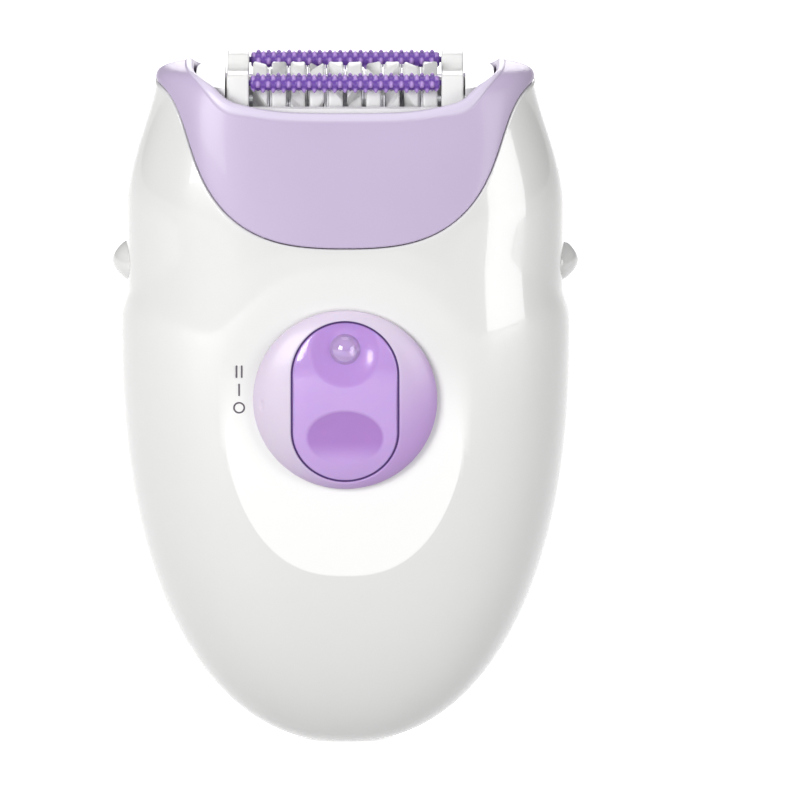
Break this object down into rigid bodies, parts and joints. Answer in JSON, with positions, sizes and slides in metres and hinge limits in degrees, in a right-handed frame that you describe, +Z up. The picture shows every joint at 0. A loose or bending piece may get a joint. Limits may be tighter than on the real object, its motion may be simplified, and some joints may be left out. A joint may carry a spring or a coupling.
{
  "type": "epilator",
  "caption": "Handheld mains epilator: an egg-shaped handle with a thumb slide switch and side release buttons, and a lift-off head with a geared tweezer barrel between spiked massage rollers.",
  "frame": {"origin": "middle of the overall outline in plan, level with the flat face of the power inlet at the foot of the handle", "axes": "+Z runs up the long axis from the inlet to the head; -Y is the front, with the thumb switch; +X is to the right of somebody facing the front"},
  "size_m": [0.0768, 0.042, 0.1151],
  "materials": {
    "white_housing": "glossy white moulded ABS, fine parting line",
    "lilac": "satin lilac moulded plastic with a soft sheen",
    "violet_window": "translucent polished violet plastic",
    "clear_lamp": "clear moulded lamp lens",
    "purple_roller": "smooth purple moulded plastic",
    "white_head": "satin white moulded plastic",
    "gear_white": "natural acetal, lightly greased",
    "grey_plastic": "fine matt grey moulded plastic",
    "black_plastic": "smooth black sleeve and wire insulation",
    "red_wire": "smooth red wire insulation",
    "green_board": "lacquered glass-fibre circuit board",
    "steel": "bright rolled and turned steel",
    "brass": "turned brass"
  },
  "bodies": {
    "housing": {"front_shell": "white_housing", "rear_shell": "white_housing", "power_inlet": "grey_plastic", "inlet_pin_left": "brass", "inlet_pin_right": "brass", "motor_can": "steel", "motor_end_cap": "grey_plastic", "gearbox_frame": "grey_plastic", "gearbox_cover": "grey_plastic", "compound_gear_axle": "steel", "idler_gear_axle": "steel", "circuit_board": "green_board", "slide_switch_body": "steel", "capacitor": "black_plastic", "supply_wire_left": "black_plastic", "supply_wire_right": "red_wire", "motor_lead_front": "black_plastic", "motor_lead_rear": "red_wire", "shell_screw_left": "steel", "shell_screw_right": "steel", "release_spring_left": "steel", "release_spring_right": "steel"},
    "epilation_head": {"head_collar": "lilac", "head_frame": "white_head", "roller_bracket_left": "white_head", "roller_bracket_right": "white_head"},
    "tweezer_barrel": {"barrel_axle": "steel", "barrel_gear": "gear_white", "tweezer_disc_1": "white_head", "tweezer_disc_2": "white_head", "tweezer_disc_3": "white_head", "tweezer_disc_4": "white_head", "tweezer_disc_5": "white_head", "tweezer_disc_6": "white_head", "tweezer_disc_7": "white_head", "tweezer_disc_8": "white_head", "tweezer_disc_9": "white_head", "tweezer_disc_10": "white_head", "tweezer_pair_1": "steel", "tweezer_pair_2": "steel", "tweezer_pair_3": "steel", "tweezer_pair_4": "steel", "tweezer_pair_5": "steel", "tweezer_pair_6": "steel", "tweezer_pair_7": "steel", "tweezer_pair_8": "steel", "tweezer_pair_9": "steel"},
    "front_massage_roller": {"massage_roller_front": "purple_roller"},
    "rear_massage_roller": {"massage_roller_rear": "purple_roller"},
    "thumb_switch": {"switch_button": "lilac", "light_window": "violet_window", "led_lamp": "clear_lamp", "switch_carrier": "grey_plastic"},
    "left_release": {"release_button_left": "white_housing"},
    "right_release": {"release_button_right": "white_housing"},
    "motor_rotor": {"motor_shaft": "steel", "motor_pinion": "brass"},
    "wheel_and_pinion": {"compound_gear": "gear_white"},
    "idler": {"idler_gear": "gear_white"}
  },
  "joints": [
    {"name": "head_lift", "type": "slide", "parent": "housing", "child": "epilation_head", "axis": [0, 0, 1], "range_m": [0, 0.045]},
    {"name": "barrel_spin", "type": "hinge", "parent": "epilation_head", "child": "tweezer_barrel", "pos_m": [0, 0.0024, 0.1075], "axis": [1, 0, 0], "continuous": true},
    {"name": "front_roller_spin", "type": "hinge", "parent": "epilation_head", "child": "front_massage_roller", "pos_m": [0, -0.0055, 0.1132], "axis": [1, 0, 0], "continuous": true},
    {"name": "rear_roller_spin", "type": "hinge", "parent": "epilation_head", "child": "rear_massage_roller", "pos_m": [0, 0.0103, 0.1132], "axis": [1, 0, 0], "continuous": true},
    {"name": "switch_slide", "type": "slide", "parent": "housing", "child": "thumb_switch", "axis": [0, 0, 1], "range_m": [0, 0.0062]},
    {"name": "release_left_press", "type": "slide", "parent": "housing", "child": "left_release", "axis": [1, 0, 0], "range_m": [0, 0.0017], "stiffness_N_per_m": 900, "springref_m": -0.0006, "deforming": ["release_spring_left"]},
    {"name": "release_right_press", "type": "slide", "parent": "housing", "child": "right_release", "axis": [-1, 0, 0], "range_m": [0, 0.0017], "stiffness_N_per_m": 900, "springref_m": -0.0006, "deforming": ["release_spring_right"]},
    {"name": "motor_spin", "type": "hinge", "parent": "housing", "child": "motor_rotor", "pos_m": [0, 0.0024, 0.0679], "axis": [1, 0, 0], "continuous": true},
    {"name": "wheel_spin", "type": "hinge", "parent": "housing", "child": "wheel_and_pinion", "pos_m": [0, 0.0024, 0.082], "axis": [1, 0, 0], "continuous": true},
    {"name": "idler_spin", "type": "hinge", "parent": "housing", "child": "idler", "pos_m": [0, 0.0024, 0.0946], "axis": [1, 0, 0], "continuous": true}
  ],
  "couplings": [
    {"joint": "idler_spin", "follows": "barrel_spin", "ratio": -0.3871},
    {"joint": "wheel_spin", "follows": "barrel_spin", "ratio": 1.0909},
    {"joint": "motor_spin", "follows": "barrel_spin", "ratio": -4.6061}
  ]
}
